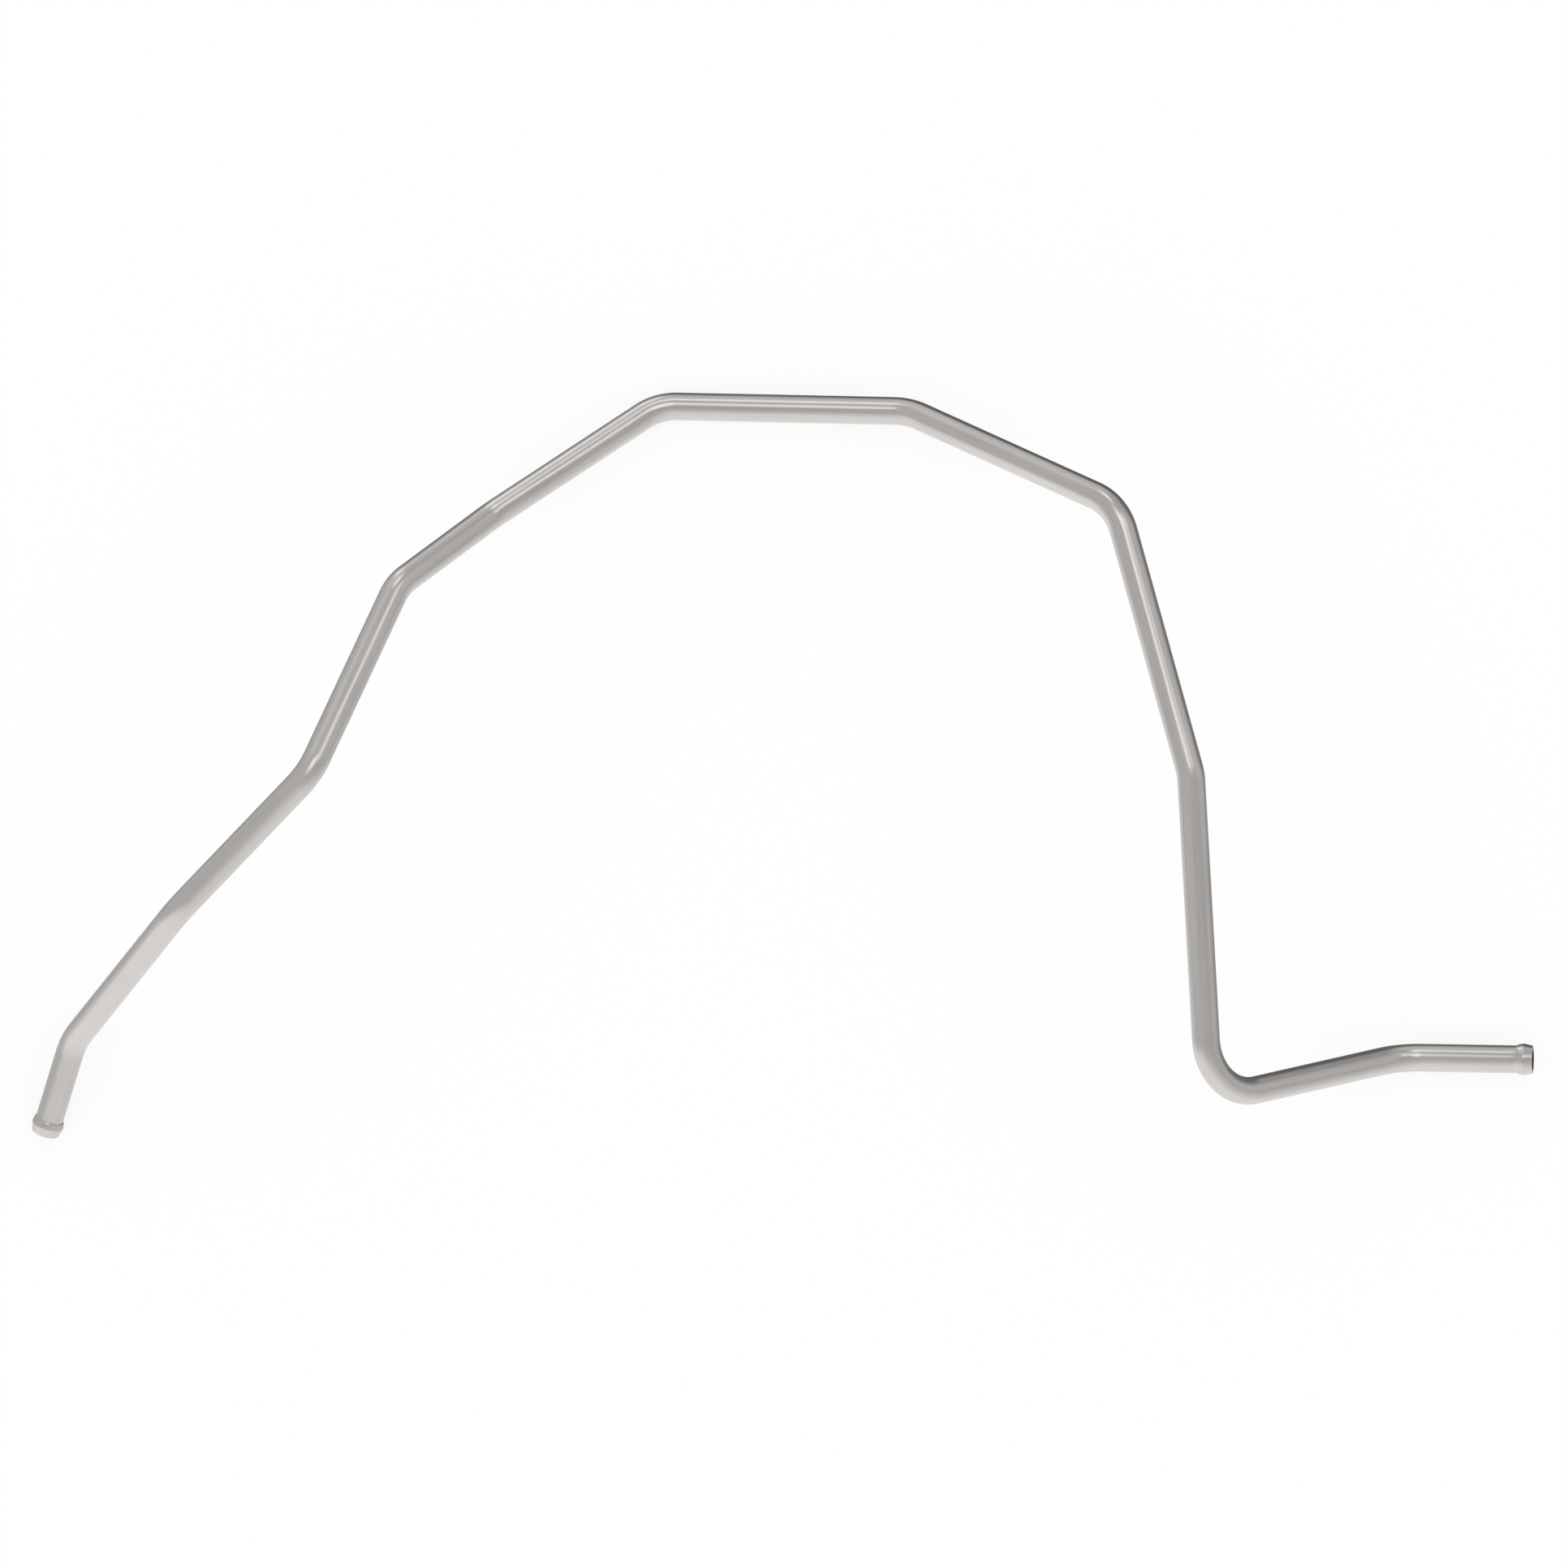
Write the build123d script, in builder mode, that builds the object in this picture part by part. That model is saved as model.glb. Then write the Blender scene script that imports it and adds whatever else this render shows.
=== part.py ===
"""Fuel return line: one steel tube bent to a route in space, with a hose bead formed at each end."""

import os

from build123d import *

# Tube
TUBE_OD = 10.0
WALL = 1.0
BEND_RADIUS = 20.0  # of the centre line, the same tool at every bend

# Hose bead, a ring pushed outwards from inside the tube: a steep shoulder, then a crest between two cones
BEAD_HEIGHT = 0.77  # crest above the plain tube
BEAD_FALL = 3.3  # from the crest to the mouth, along the axis
BEAD_RISE = 2.0  # from the shoulder to the crest
SHOULDER_HEIGHT = 0.37  # above the plain tube
SHOULDER_RISE = 0.6  # from the plain tube to the shoulder
BEAD_ROOT_RADIUS = 1.0  # where the bead leaves the plain tube
BEAD_CREST_RADIUS = 1.5
FORMED_LEAD = 1.0  # plain stretch behind the bead that the forming die grips
EDGE_BREAK = 0.15  # deburred edges of the mouth

# Centre line as the tube lies at rest, from mouth to mouth through the corner of each bend:
# X to the right, Y across, Z above the surface. Each corner is rounded by BEND_RADIUS.
ROUTE = [
    (-265.0, -132.0, 4.5),  # left mouth, on the surface
    (-254.5, -98.5, 16.0),
    (-215.0, -48.0, 73.0),
    (-167.0, 2.5, 83.5),  # highest corner
    (-136.5, 68.0, 51.5),
    (-103.5, 91.5, 25.0),
    (-44.5, 129.5, 4.5),  # far corner, on the surface
    (45.5, 128.0, 9.0),
    (121.0, 96.5, 46.0),
    (148.0, 1.0, 63.0),
    (154.5, -116.0, 62.5),  # sharpest corner
    (221.5, -104.5, 4.3),  # right corner, on the surface
    (269.5, -105.0, 8.0),  # right mouth
]

outer_radius = TUBE_OD / 2
bore_radius = outer_radius - WALL
shoulder_start = BEAD_FALL + BEAD_RISE
bead_length = shoulder_start + SHOULDER_RISE
formed_length = FORMED_LEAD + bead_length


def mouth_plane(mouth, corner):
    """Plane that holds the axis of an end of the tube: origin at the mouth, local X out of it."""
    outward = (Vector(mouth) - Vector(corner)).normalized()
    return Plane(origin=mouth, x_dir=outward, z_dir=outward.cross(Vector(0, 0, 1)))


def bead_corners(radius):
    """Corners of one side of the formed wall, from the plain tube over the bead to the mouth."""
    return (
        (-formed_length, radius),
        (-bead_length, radius),
        (-shoulder_start, radius + SHOULDER_HEIGHT),
        (-BEAD_FALL, radius + BEAD_HEIGHT),
        (0, radius),
    )


left_end = mouth_plane(ROUTE[0], ROUTE[1])
right_end = mouth_plane(ROUTE[-1], ROUTE[-2])

with BuildPart() as formed_tube:
    # Plain bent tube between the two formed ends
    tube_start = left_end.from_local_coords((-formed_length, 0, 0))
    tube_finish = right_end.from_local_coords((-formed_length, 0, 0))
    with BuildLine():
        FilletPolyline(tube_start, *ROUTE[1:-1], tube_finish, radius=BEND_RADIUS)
    with BuildSketch(Plane(origin=tube_start, z_dir=-left_end.x_dir)):
        Circle(outer_radius)
        Circle(bore_radius, mode=Mode.SUBTRACT)
    sweep()

    # Beaded ends: the wall keeps its thickness over the bead
    for end in (left_end, right_end):
        with BuildSketch(end) as wall_section:
            with BuildLine():
                outer_corners = bead_corners(outer_radius)
                step = FilletPolyline(*outer_corners[:3], radius=BEAD_ROOT_RADIUS)
                barrel = FilletPolyline(*outer_corners[2:], radius=BEAD_CREST_RADIUS)
                inside = Polyline(*bead_corners(bore_radius))
                Line(step @ 0, inside @ 0)
                Line(barrel @ 1, inside @ 1)
            make_face()
            chamfer(wall_section.vertices().group_by(Axis.X)[-1], length=EDGE_BREAK)
        revolve(axis=Axis(end.origin, end.x_dir))

# Set down with the lowest point on Z = 0 and the outline centred over the origin
extent = formed_tube.part.bounding_box()
with BuildPart() as return_tube:
    with Locations((-extent.center().X, -extent.center().Y, -extent.min.Z)):
        add(formed_tube.part)

return_tube.part.label = "return_tube"

os.makedirs("parts", exist_ok=True)
export_step(return_tube.part, "parts/return_tube.step")
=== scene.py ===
"""Looks of the fuel return line: a satin steel tube with two hose beads, in a pale studio."""

import math
from collections import namedtuple

import bpy
from mathutils import Euler, Matrix, Vector


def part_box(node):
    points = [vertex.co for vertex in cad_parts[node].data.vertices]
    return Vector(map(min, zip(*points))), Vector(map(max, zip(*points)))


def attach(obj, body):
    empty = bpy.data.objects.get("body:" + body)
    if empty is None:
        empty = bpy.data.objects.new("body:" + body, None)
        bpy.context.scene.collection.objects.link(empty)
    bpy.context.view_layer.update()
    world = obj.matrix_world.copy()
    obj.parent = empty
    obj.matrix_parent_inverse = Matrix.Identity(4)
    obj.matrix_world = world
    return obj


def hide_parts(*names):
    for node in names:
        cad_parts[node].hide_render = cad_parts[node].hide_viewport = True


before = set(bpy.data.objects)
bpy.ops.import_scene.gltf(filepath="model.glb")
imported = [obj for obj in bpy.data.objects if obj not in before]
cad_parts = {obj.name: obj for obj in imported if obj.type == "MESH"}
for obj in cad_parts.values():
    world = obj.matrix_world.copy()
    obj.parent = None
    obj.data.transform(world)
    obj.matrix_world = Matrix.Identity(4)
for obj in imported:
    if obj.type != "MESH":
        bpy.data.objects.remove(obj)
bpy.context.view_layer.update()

MM = 0.001
NODE = "return_tube"
BODY = "root"

# Tube, in metres
TUBE_RADIUS = 5.0 * MM
WALL = 1.0 * MM
BORE_RADIUS = TUBE_RADIUS - WALL
BEND_RADIUS = 20.0 * MM  # of the centre line

# Hose bead at each end, in metres
BEAD_HEIGHT = 0.77 * MM  # crest above the plain tube
BEAD_FALL = 3.3 * MM  # from the crest to the mouth
BEAD_RISE = 2.0 * MM  # from the shoulder to the crest
SHOULDER_HEIGHT = 0.37 * MM  # above the plain tube
SHOULDER_RISE = 0.6 * MM  # from the plain tube to the shoulder
BEAD_ROOT_RADIUS = 1.0 * MM
SHOULDER_RADIUS = 0.8 * MM
INNER_SHOULDER_RADIUS = 0.3 * MM
BEAD_CREST_RADIUS = 1.5 * MM
LIP_RADIUS = 0.15 * MM  # deburred edges of the mouth
FORMED_LENGTH = 9.0 * MM  # the stretch that the bead's die has polished
FORMED_FADE = 1.0 * MM  # over which that polish sets in

# Corners of the centre line in millimetres, from the left mouth to the right one. They come from
# a fit to the tube's edges and shading in the photo, then rounded and set to rest on the floor.
ROUTE = [
    (-265.0, -132.0, 4.5),
    (-254.5, -98.5, 16.0),
    (-215.0, -48.0, 73.0),
    (-167.0, 2.5, 83.5),
    (-136.5, 68.0, 51.5),
    (-103.5, 91.5, 25.0),
    (-44.5, 129.5, 4.5),
    (45.5, 128.0, 9.0),
    (121.0, 96.5, 46.0),
    (148.0, 1.0, 63.0),
    (154.5, -116.0, 62.5),
    (221.5, -104.5, 4.3),
    (269.5, -105.0, 8.0),
]

# Fineness of the mesh
SIDES = 96  # round the tube
BEND_STEP = math.radians(2.0)
RUN_STEP = 8.0 * MM
PROFILE_STEP = math.radians(4.0)  # along the small radii of the bead and the mouth

# Texture sheet: the surface lies flat on it in strips, side by side
SHEET_STRIPS = 8
SHEET_MARGIN = 0.006

# Steel
STEEL = (0.670, 0.645, 0.623)
WARMTH = (0.016, 0.0, -0.015)  # added where the steel is warmer, taken off where it is cooler
ROUGHNESS = 0.16

# Noises on the steel, in cells per metre along and across the tube as it was before bending
Noise = namedtuple("Noise", "along across detail")
NOISES = {
    "streaks": Noise(14, 700, 3.0),
    "hairlines": Noise(50, 2500, 2.0),
    "clouds": Noise(30, 90, 5.0),
    "tint": Noise(80, 250, 3.0),
    "grain": Noise(2500, 2500, 2.0),
    "turning": Noise(5000, 60, 2.0),
}

# How much each mark on the steel adds to its lightness, its roughness and its height in metres
LIGHTNESS_MARKS = {"streaks": 0.09, "hairlines": 0.05, "clouds": 0.07, "turning_marks": 0.04}
ROUGHNESS_MARKS = {
    "streaks": 0.06,
    "hairlines": 0.03,
    "clouds": 0.06,
    "stretched": 0.04,
    "formed": -0.02,
    "bore": 0.3,
}
HEIGHT_MARKS = {
    "streaks": 0.015 * MM,
    "hairlines": 0.0025 * MM,
    "grain": 0.0003 * MM,
    "orange_peel": 0.0012 * MM,
    "turning_marks": 0.0005 * MM,
}
BORE_PAINTED_SHADE = {"bore": -0.4}  # painted shade inside the bore: its colour is this much darker

# Camera: nearly straight above, from far off through a long lens. Its aim, tilt and distance are
# fitted to the tube's outline in the photo.
AIM = Vector((0.368, -6.85, 0.0)) * MM
CAMERA_TILT = Euler([math.radians(angle) for angle in (-3.737, 1.6195, -0.0459)])
CAMERA_DISTANCE = 21.897
LENS = 1400.0  # millimetres on a 36 mm sensor

# Floor
FLOOR_REACH = 6.0  # from its middle to each side
SHADOW_SHARE = 0.18  # the part of its brightness that a shadow can take away

# Studio: soft round panels. A bearing is counted round the object from its front, towards its
# right side. A panel is full within its inner angle from its middle and gone at its outer one.
# The numbers come from a least-squares fit of such panels to the tones on the tube in the photo,
# made by another program and rounded here. A few were then changed.
Panel = namedtuple("Panel", "bearing elevation inner outer level")
CEILING = 0.42
PANELS = [
    Panel(-29, -22, 0, 180, 0.99),  # pale backdrop, below the picture
    Panel(134, -43, 0, 55, 0.21),  # dark card, low on the far right
    Panel(201, -14, 0, 90, 0.175),  # dark card, low on the far side
    Panel(174, -54, 8, 33, 0.155),  # darker card under it
    Panel(192, 55, 0, 82, 0.52),  # far half of the ceiling
    Panel(-135, 16, 46, 74, 0.58),  # wall on the far left
]
LAMPS = [
    Panel(172, 64, 4, 18, 0.73),  # high over the far side
    Panel(139, 47, 3, 16, 0.47),  # high on the far right
    Panel(179, 26, 3, 13, 0.64),  # far side
    Panel(198, -11, 3, 12, 0.69),  # low on the far side
    Panel(122, 12, 8, 41, 0.16),  # wide glow on the right
    Panel(201, 9, 6, 29, 0.15),  # glow on the far side
    Panel(162, -11, 5, 23, 0.21),  # low glow on the far side
]


def add_node(tree, kind, inputs=(), **settings):
    """A node with its settings, and its inputs set to a value or linked to a socket."""
    node = tree.nodes.new(kind)
    for name, value in settings.items():
        setattr(node, name, value)
    for key, value in dict(inputs).items():
        if isinstance(value, bpy.types.NodeSocket):
            tree.links.new(value, node.inputs[key])
        else:
            node.inputs[key].default_value = value
    return node


def math_node(tree, operation, *values):
    return add_node(tree, "ShaderNodeMath", enumerate(values), operation=operation).outputs[0]


def towards(bearing, elevation):
    """Direction from the object to a place in the studio."""
    bearing, elevation = math.radians(bearing), math.radians(elevation)
    flat = math.cos(elevation)
    return Vector((math.sin(bearing) * flat, -math.cos(bearing) * flat, math.sin(elevation)))


def soft_disc(tree, direction, panel):
    """1 inside a panel's inner angle, 0 outside its outer one, and smooth between."""
    facing = add_node(
        tree,
        "ShaderNodeVectorMath",
        {0: direction, 1: towards(panel.bearing, panel.elevation)},
        operation="DOT_PRODUCT",
    ).outputs["Value"]
    return add_node(
        tree,
        "ShaderNodeMapRange",
        {
            "Value": facing,
            "From Min": math.cos(math.radians(panel.outer)),
            "From Max": math.cos(math.radians(panel.inner)),
        },
        interpolation_type="SMOOTHSTEP",
    ).outputs["Result"]


def studio_light(tree):
    """Brightness of the studio by direction: the ceiling, panels laid over it, and lamps added."""
    direction = add_node(tree, "ShaderNodeTexCoord").outputs["Generated"]
    light = CEILING
    for panel in PANELS:
        light = add_node(
            tree,
            "ShaderNodeMix",
            {"Factor": soft_disc(tree, direction, panel), "A": light, "B": panel.level},
        ).outputs["Result"]
    for lamp in LAMPS:
        light = math_node(
            tree, "MULTIPLY_ADD", soft_disc(tree, direction, lamp), lamp.level, light
        )
    return light


def make_world():
    """A world that is white to the camera and the floor, and the studio in the metal's gloss."""
    world = bpy.data.worlds.new("studio")
    bpy.context.scene.world = world
    world.use_nodes = True
    tree = world.node_tree
    tree.nodes.clear()
    ray = add_node(tree, "ShaderNodeLightPath").outputs
    strength = add_node(
        tree,
        "ShaderNodeMix",
        {"Factor": ray["Is Glossy Ray"], "A": 1.0, "B": studio_light(tree)},
    ).outputs["Result"]
    background = add_node(
        tree, "ShaderNodeBackground", {"Color": (1, 1, 1, 1), "Strength": strength}
    )
    add_node(tree, "ShaderNodeOutputWorld", {"Surface": background.outputs[0]})


def make_camera():
    camera = bpy.data.objects.new("camera", bpy.data.cameras.new("camera"))
    bpy.context.collection.objects.link(camera)
    camera.data.lens = LENS
    camera.rotation_euler = CAMERA_TILT
    camera.location = AIM + CAMERA_TILT.to_matrix() @ Vector((0, 0, CAMERA_DISTANCE))
    bpy.context.scene.camera = camera


def make_floor():
    """Pale floor, white to the camera, that keeps a faint shadow of the tube."""
    mesh = bpy.data.meshes.new("floor")
    corners = [
        (x * FLOOR_REACH, y * FLOOR_REACH, 0.0) for x, y in ((-1, -1), (1, -1), (1, 1), (-1, 1))
    ]
    mesh.from_pydata(corners, [], [(0, 1, 2, 3)])
    floor = bpy.data.objects.new("floor", mesh)
    bpy.context.collection.objects.link(floor)
    floor.visible_glossy = False

    material = bpy.data.materials.new("floor")
    material.use_nodes = True
    tree = material.node_tree
    tree.nodes.clear()
    glow = add_node(
        tree, "ShaderNodeEmission", {"Color": (1, 1, 1, 1), "Strength": 1 - SHADOW_SHARE}
    )
    matte = add_node(
        tree, "ShaderNodeBsdfDiffuse", {"Color": (SHADOW_SHARE, SHADOW_SHARE, SHADOW_SHARE, 1)}
    )
    both = add_node(tree, "ShaderNodeAddShader", {0: glow.outputs[0], 1: matte.outputs[0]})
    add_node(tree, "ShaderNodeOutputMaterial", {"Surface": both.outputs[0]})
    mesh.materials.append(material)


# A straight run or an arc of the centre line, by where it begins. A run has no axis.
Piece = namedtuple("Piece", "begin length place heading side axis")
Station = namedtuple("Station", "place along side bend")


class CentreLine:
    """The route with its corners rounded, as a list of straight runs and arcs."""

    def __init__(self, corners, radius):
        self.pieces = []
        self.radius = radius
        self.length = 0.0
        heading = (corners[1] - corners[0]).normalized()
        side = heading.cross(Vector((0, 0, 1))).normalized()
        place = corners[0]
        for corner, after in zip(corners[1:-1], corners[2:]):
            turned = (after - corner).normalized()
            angle = heading.angle(turned)
            setback = radius * math.tan(angle / 2)
            self.add((corner - place).length - setback, place, heading, side, None)
            place = corner - heading * setback
            axis = heading.cross(turned).normalized()
            self.add(angle * radius, place, heading, side, axis)
            side = Matrix.Rotation(angle, 3, axis) @ side
            place = corner + turned * setback
            heading = turned
        self.add((corners[-1] - place).length, place, heading, side, None)

    def add(self, length, *start):
        self.pieces.append(Piece(self.length, length, *start))
        self.length += length

    def at(self, distance):
        """Place, direction, side and bend at a distance from the left mouth.

        The bend points inwards, and grows from 0 at the ends of the arc to 1 in its middle.
        """
        begun = [piece for piece in self.pieces if piece.begin <= distance]
        begin, length, place, heading, side, axis = begun[-1] if begun else self.pieces[0]
        gone = distance - begin
        if axis is None:
            return Station(place + heading * gone, heading, side, Vector())
        turn = Matrix.Rotation(gone / self.radius, 3, axis)
        inward = axis.cross(heading)
        place = place + (inward - turn @ inward) * self.radius
        bend = turn @ inward * math.sin(math.pi * gone / length)
        return Station(place, turn @ heading, turn @ side, bend)

    def steps(self, low, high):
        """Distances between two limits where the mesh has a ring."""
        found = []
        for piece in self.pieces:
            pitch = RUN_STEP if piece.axis is None else BEND_STEP * self.radius
            count = math.ceil(piece.length / pitch)
            found += [piece.begin + piece.length * k / count for k in range(count)]
        return [distance for distance in found if low < distance < high]


def rounded(corners, radii):
    """Points of an outline whose inner corners are rounded by arcs of the given radii."""
    points = [corners[0]]
    for before, corner, after, radius in zip(corners, corners[1:], corners[2:], radii):
        back = (before - corner).normalized()
        ahead = (after - corner).normalized()
        turn = math.pi - back.angle(ahead)
        setback = radius * math.tan(turn / 2)
        centre = corner + (back + ahead).normalized() * radius / math.cos(turn / 2)
        first = corner + back * setback - centre
        sweep = turn if back.cross(first) > 0 else -turn
        count = math.ceil(turn / PROFILE_STEP)
        for k in range(count + 1):
            points.append(centre + Matrix.Rotation(sweep * k / count, 2) @ first)
    return points + [corners[-1]]


def mouth_outline():
    """Half section of a formed end: distance from the mouth and radius, from outside to bore."""
    shoulder = BEAD_FALL + BEAD_RISE
    root = shoulder + SHOULDER_RISE
    steps = [
        (FORMED_LENGTH, 0.0),
        (root, 0.0),
        (shoulder, SHOULDER_HEIGHT),
        (BEAD_FALL, BEAD_HEIGHT),
        (0.0, 0.0),
    ]
    outside = [Vector((distance, TUBE_RADIUS + height)) for distance, height in steps]
    inside = [Vector((distance, BORE_RADIUS + height)) for distance, height in reversed(steps)]
    outer_radii = [BEAD_ROOT_RADIUS, SHOULDER_RADIUS, BEAD_CREST_RADIUS, LIP_RADIUS]
    inner_radii = [
        LIP_RADIUS,
        BEAD_CREST_RADIUS - WALL,
        INNER_SHOULDER_RADIUS,
        BEAD_ROOT_RADIUS + WALL,
    ]
    return rounded(outside + inside, outer_radii + inner_radii)


# One ring of the tube's vertices: its distance along the tube, its radius, and whether it is
# in the bore
Ring = namedtuple("Ring", "distance radius bore")


def tube_rings(line):
    """Every ring in order: round the right mouth, through the bore, round the left, and outside."""
    outline = mouth_outline()
    start = outline[0].x
    middle_of_face = next(k for k, point in enumerate(outline) if point.y < TUBE_RADIUS - WALL / 2)
    mouth = [
        Ring(point.x, point.y, k > middle_of_face and point.x > LIP_RADIUS / 2)
        for k, point in enumerate(outline)
    ]
    middle = line.steps(start, line.length - start)
    rings = [Ring(line.length - ring.distance, ring.radius, ring.bore) for ring in mouth]
    rings += [Ring(distance, BORE_RADIUS, True) for distance in reversed(middle)]
    rings += reversed(mouth)
    rings += [Ring(distance, TUBE_RADIUS, False) for distance in middle]
    return rings


def add_texture_sheet(mesh, rings):
    """Lays the surface flat for baking, in strips of equal length, each once round the tube."""
    travel = [0.0]
    for here, there in zip(rings, rings[1:] + rings[:1]):
        step = math.hypot(there.distance - here.distance, there.radius - here.radius)
        travel.append(travel[-1] + step)
    strip_length = travel[-1] / SHEET_STRIPS
    longest = strip_length + RUN_STEP
    usable = 1 - 2 * SHEET_MARGIN
    flat = []
    for here, there in zip(travel, travel[1:]):
        strip = min(int(here / strip_length), SHEET_STRIPS - 1)
        strip_start = strip * strip_length
        across = [SHEET_MARGIN + usable * (end - strip_start) / longest for end in (here, there)]
        for k in range(SIDES):
            turns = [(SIDES - side) / SIDES for side in (k, k + 1)]
            up = [(strip + SHEET_MARGIN + usable * turn) / SHEET_STRIPS for turn in turns]
            flat += [across[0], up[0], across[0], up[1], across[1], up[1], across[1], up[0]]
    mesh.uv_layers.new(name="OFBake").data.foreach_set("uv", flat)


def add_attribute(mesh, name, values):
    attribute = mesh.attributes.new(name, "FLOAT", "POINT")
    attribute.data.foreach_set("value", values)


def centred(places, low, high):
    """The places, moved so that their box has its middle at the middle of a given box."""
    lowest = Vector([min(place[i] for place in places) for i in range(3)])
    highest = Vector([max(place[i] for place in places) for i in range(3)])
    shift = (Vector(low) + Vector(high) - lowest - highest) / 2
    return [place + shift for place in places]


def ring_faces(count):
    """Faces that join each ring to the next, and the last ring to the first."""
    faces = []
    for i in range(count):
        here, there = i * SIDES, (i + 1) % count * SIDES
        for k in range(SIDES):
            beside = (k + 1) % SIDES
            faces.append((here + k, here + beside, there + beside, there + k))
    return faces


def tube_mesh():
    """The tube's fine mesh. Each vertex also keeps its place in the tube before bending."""
    line = CentreLine([Vector(corner) * MM for corner in ROUTE], BEND_RADIUS)
    rings = tube_rings(line)
    places, straight, bends, ends, bores = [], [], [], [], []
    for ring in rings:
        station = line.at(ring.distance)
        across = station.along.cross(station.side)
        for k in range(SIDES):
            angle = math.tau * k / SIDES
            out = station.side * math.cos(angle) + across * math.sin(angle)
            places.append(station.place + out * ring.radius)
            straight += [
                ring.distance,
                ring.radius * math.cos(angle),
                ring.radius * math.sin(angle),
            ]
            bends.append(-out.dot(station.bend))
            ends.append(min(ring.distance, line.length - ring.distance))
            bores.append(float(ring.bore))

    mesh = bpy.data.meshes.new("steel_tube")
    mesh.from_pydata(centred(places, *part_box(NODE)), [], ring_faces(len(rings)))
    mesh.shade_smooth()
    mesh.attributes.new("straight", "FLOAT_VECTOR", "POINT").data.foreach_set("vector", straight)
    add_attribute(mesh, "bend", bends)
    add_attribute(mesh, "end", ends)
    add_attribute(mesh, "bore", bores)
    add_texture_sheet(mesh, rings)
    return mesh


def make_tube(material):
    mesh = tube_mesh()
    mesh.materials.append(material)
    tube = bpy.data.objects.new("steel_tube", mesh)
    bpy.context.collection.objects.link(tube)
    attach(tube, BODY)
    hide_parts(NODE)


def read_attribute(tree, name, output="Fac"):
    return add_node(tree, "ShaderNodeAttribute", attribute_name=name).outputs[output]


def noise(tree, place, kind):
    """Noise of a kind, from -1 to 1, at a place in the tube before bending."""
    cells = (kind.along, kind.across, kind.across)
    stretched = add_node(
        tree, "ShaderNodeVectorMath", {0: place, 1: cells}, operation="MULTIPLY"
    ).outputs["Vector"]
    value = add_node(
        tree, "ShaderNodeTexNoise", {"Vector": stretched, "Scale": 1.0, "Detail": kind.detail}
    ).outputs["Fac"]
    return math_node(tree, "MULTIPLY_ADD", value, 2.0, -1.0)


def steel_marks(tree):
    """The marks on the steel by name: noises from -1 to 1, and worked stretches from 0 to 1."""
    place = read_attribute(tree, "straight", "Vector")
    marks = {name: noise(tree, place, kind) for name, kind in NOISES.items()}
    marks["bore"] = read_attribute(tree, "bore")
    marks["stretched"] = math_node(tree, "MAXIMUM", read_attribute(tree, "bend"), 0.0)
    marks["formed"] = add_node(
        tree,
        "ShaderNodeMapRange",
        {
            "Value": read_attribute(tree, "end"),
            "From Min": FORMED_LENGTH,
            "From Max": FORMED_LENGTH - FORMED_FADE,
        },
        interpolation_type="SMOOTHSTEP",
    ).outputs["Result"]
    marks["orange_peel"] = math_node(tree, "MULTIPLY", marks["stretched"], marks["grain"])
    marks["turning_marks"] = math_node(tree, "MULTIPLY", marks["formed"], marks["turning"])
    return marks


def weighted_sum(tree, start, marks, weights):
    """A start value plus each mark that has a weight, times that weight."""
    total = start
    for name, weight in weights.items():
        total = math_node(tree, "MULTIPLY_ADD", marks[name], weight, total)
    return total


def steel_colour(tree, marks):
    """The steel's colour, tinted warmer or cooler, times its lightness and the painted shade in the
    bore.
    """
    lightness = math_node(
        tree,
        "MULTIPLY",
        weighted_sum(tree, 1.0, marks, LIGHTNESS_MARKS),
        weighted_sum(tree, 1.0, marks, BORE_PAINTED_SHADE),
    )
    tinted = add_node(
        tree,
        "ShaderNodeVectorMath",
        {0: marks["tint"], 1: WARMTH, 2: STEEL},
        operation="MULTIPLY_ADD",
    ).outputs["Vector"]
    return add_node(
        tree, "ShaderNodeVectorMath", {0: tinted, "Scale": lightness}, operation="SCALE"
    ).outputs["Vector"]


def make_steel():
    """Satin drawn steel: streaks along the tube, rougher bends, turned ends and a dull bore
    darkened by painted shade.
    """
    material = bpy.data.materials.new("satin_steel")
    material.use_nodes = True
    tree = material.node_tree
    shader = tree.nodes["Principled BSDF"]
    shader.inputs["Metallic"].default_value = 1.0
    marks = steel_marks(tree)
    height = weighted_sum(tree, 0.0, marks, HEIGHT_MARKS)
    relief = add_node(tree, "ShaderNodeBump", {"Height": height, "Distance": 1.0})
    roughness = weighted_sum(tree, ROUGHNESS, marks, ROUGHNESS_MARKS)
    tree.links.new(steel_colour(tree, marks), shader.inputs["Base Color"])
    tree.links.new(roughness, shader.inputs["Roughness"])
    tree.links.new(relief.outputs["Normal"], shader.inputs["Normal"])
    return material


bpy.context.scene.view_settings.view_transform = "Standard"
make_camera()
make_world()
make_floor()
make_tube(make_steel())
